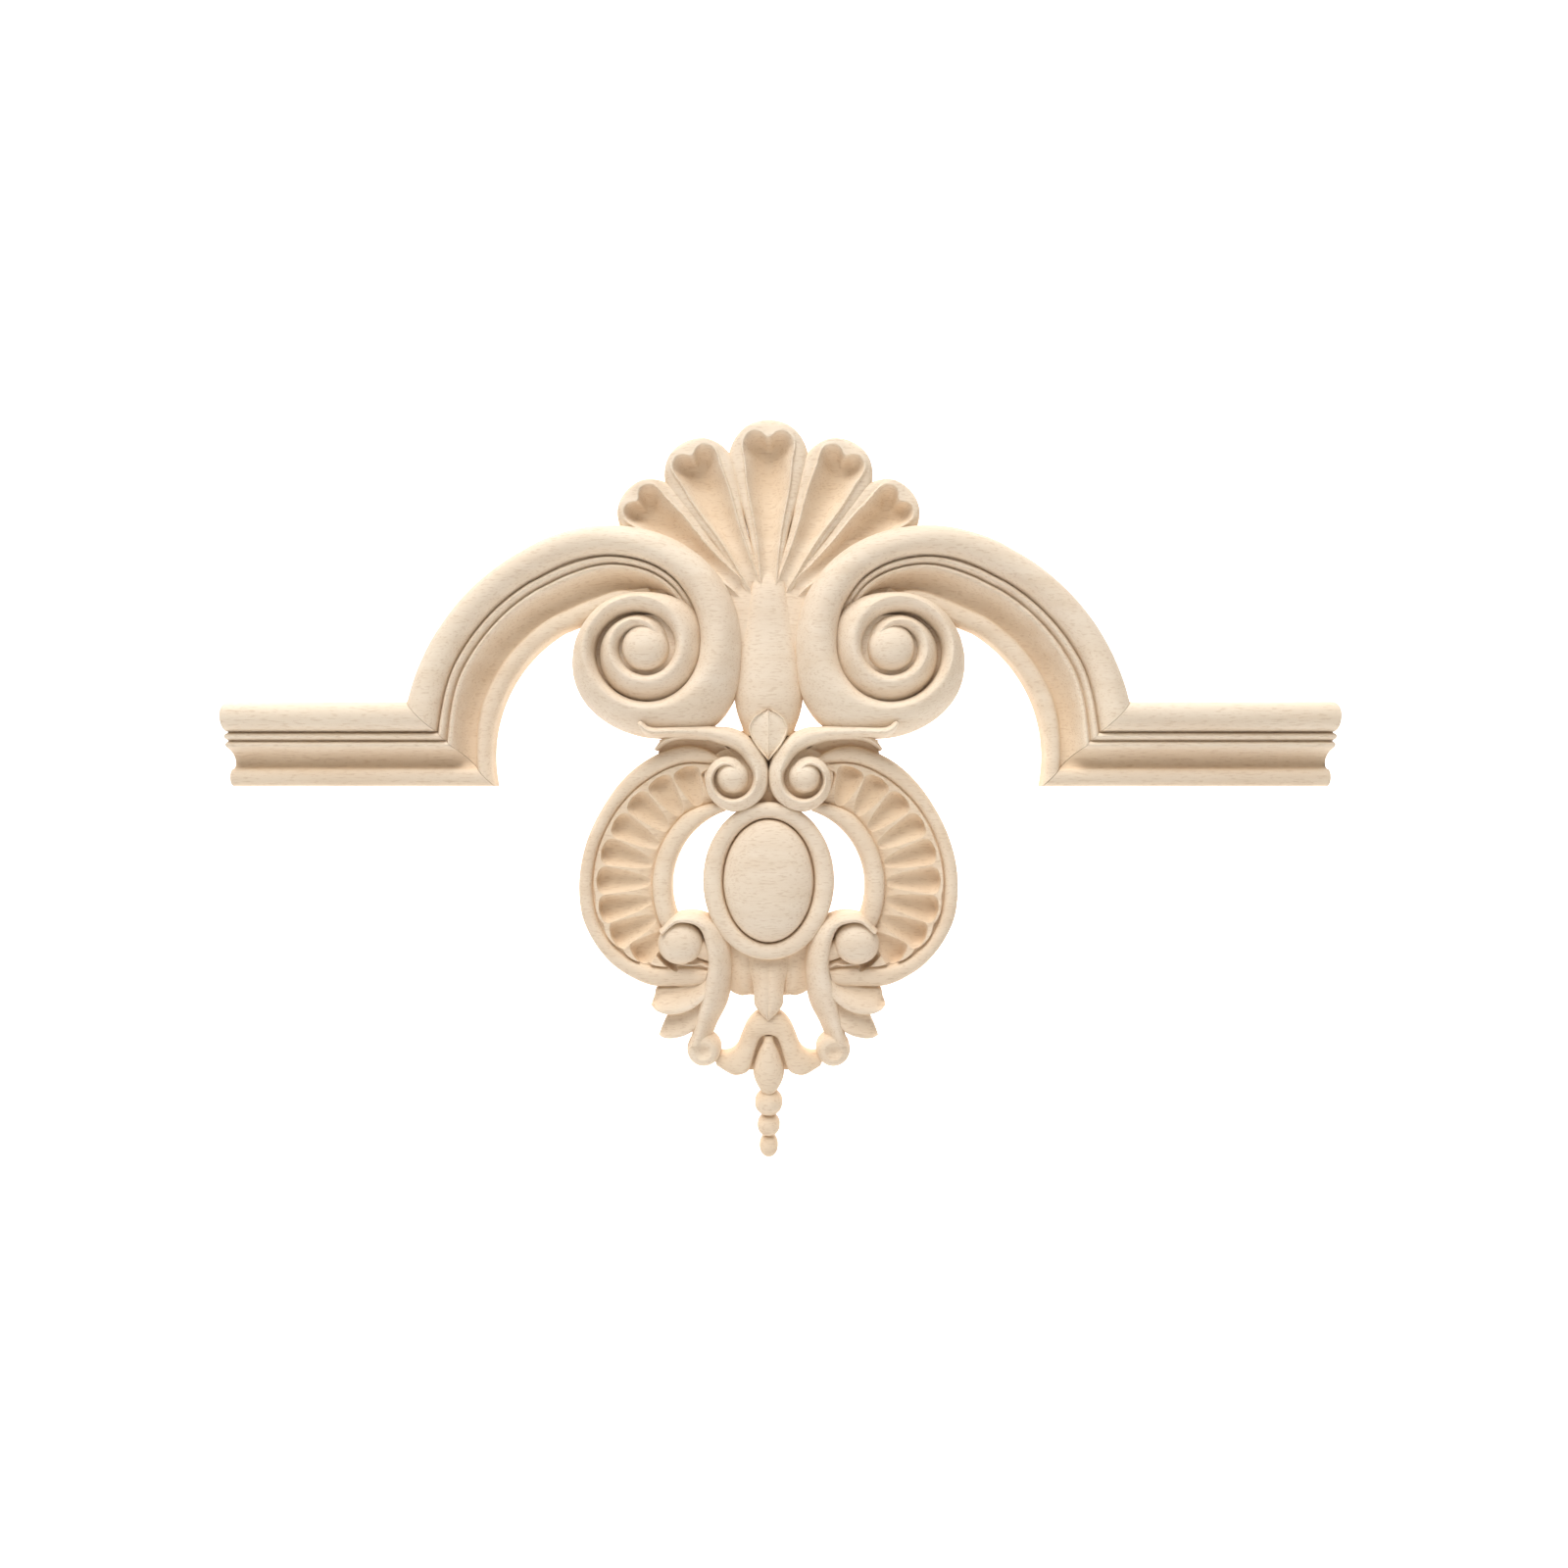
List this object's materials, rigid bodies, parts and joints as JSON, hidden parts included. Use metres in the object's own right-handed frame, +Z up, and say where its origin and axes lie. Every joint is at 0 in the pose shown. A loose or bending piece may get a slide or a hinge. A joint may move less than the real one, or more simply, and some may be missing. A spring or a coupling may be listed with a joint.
{
  "type": "carved wood moulding",
  "caption": "Raw wood overdoor moulding: straight profiled lengths mitred to a carved crest of arches, volutes, a shell and a hanging cartouche.",
  "frame": {"origin": "on the flat back face, on the carving's centreline, at mid-height of the straight mouldings", "axes": "+X to the viewer's right along the straight mouldings, +Y out of the flat back into the wall, +Z up"},
  "size_m": [0.781, 0.033, 0.5273],
  "materials": {
    "raw_wood": "unfinished, sanded smooth"
  },
  "bodies": {
    "root": {"carved_crest": "raw_wood", "straight_moulding_left": "raw_wood", "straight_moulding_right": "raw_wood"}
  },
  "joints": []
}
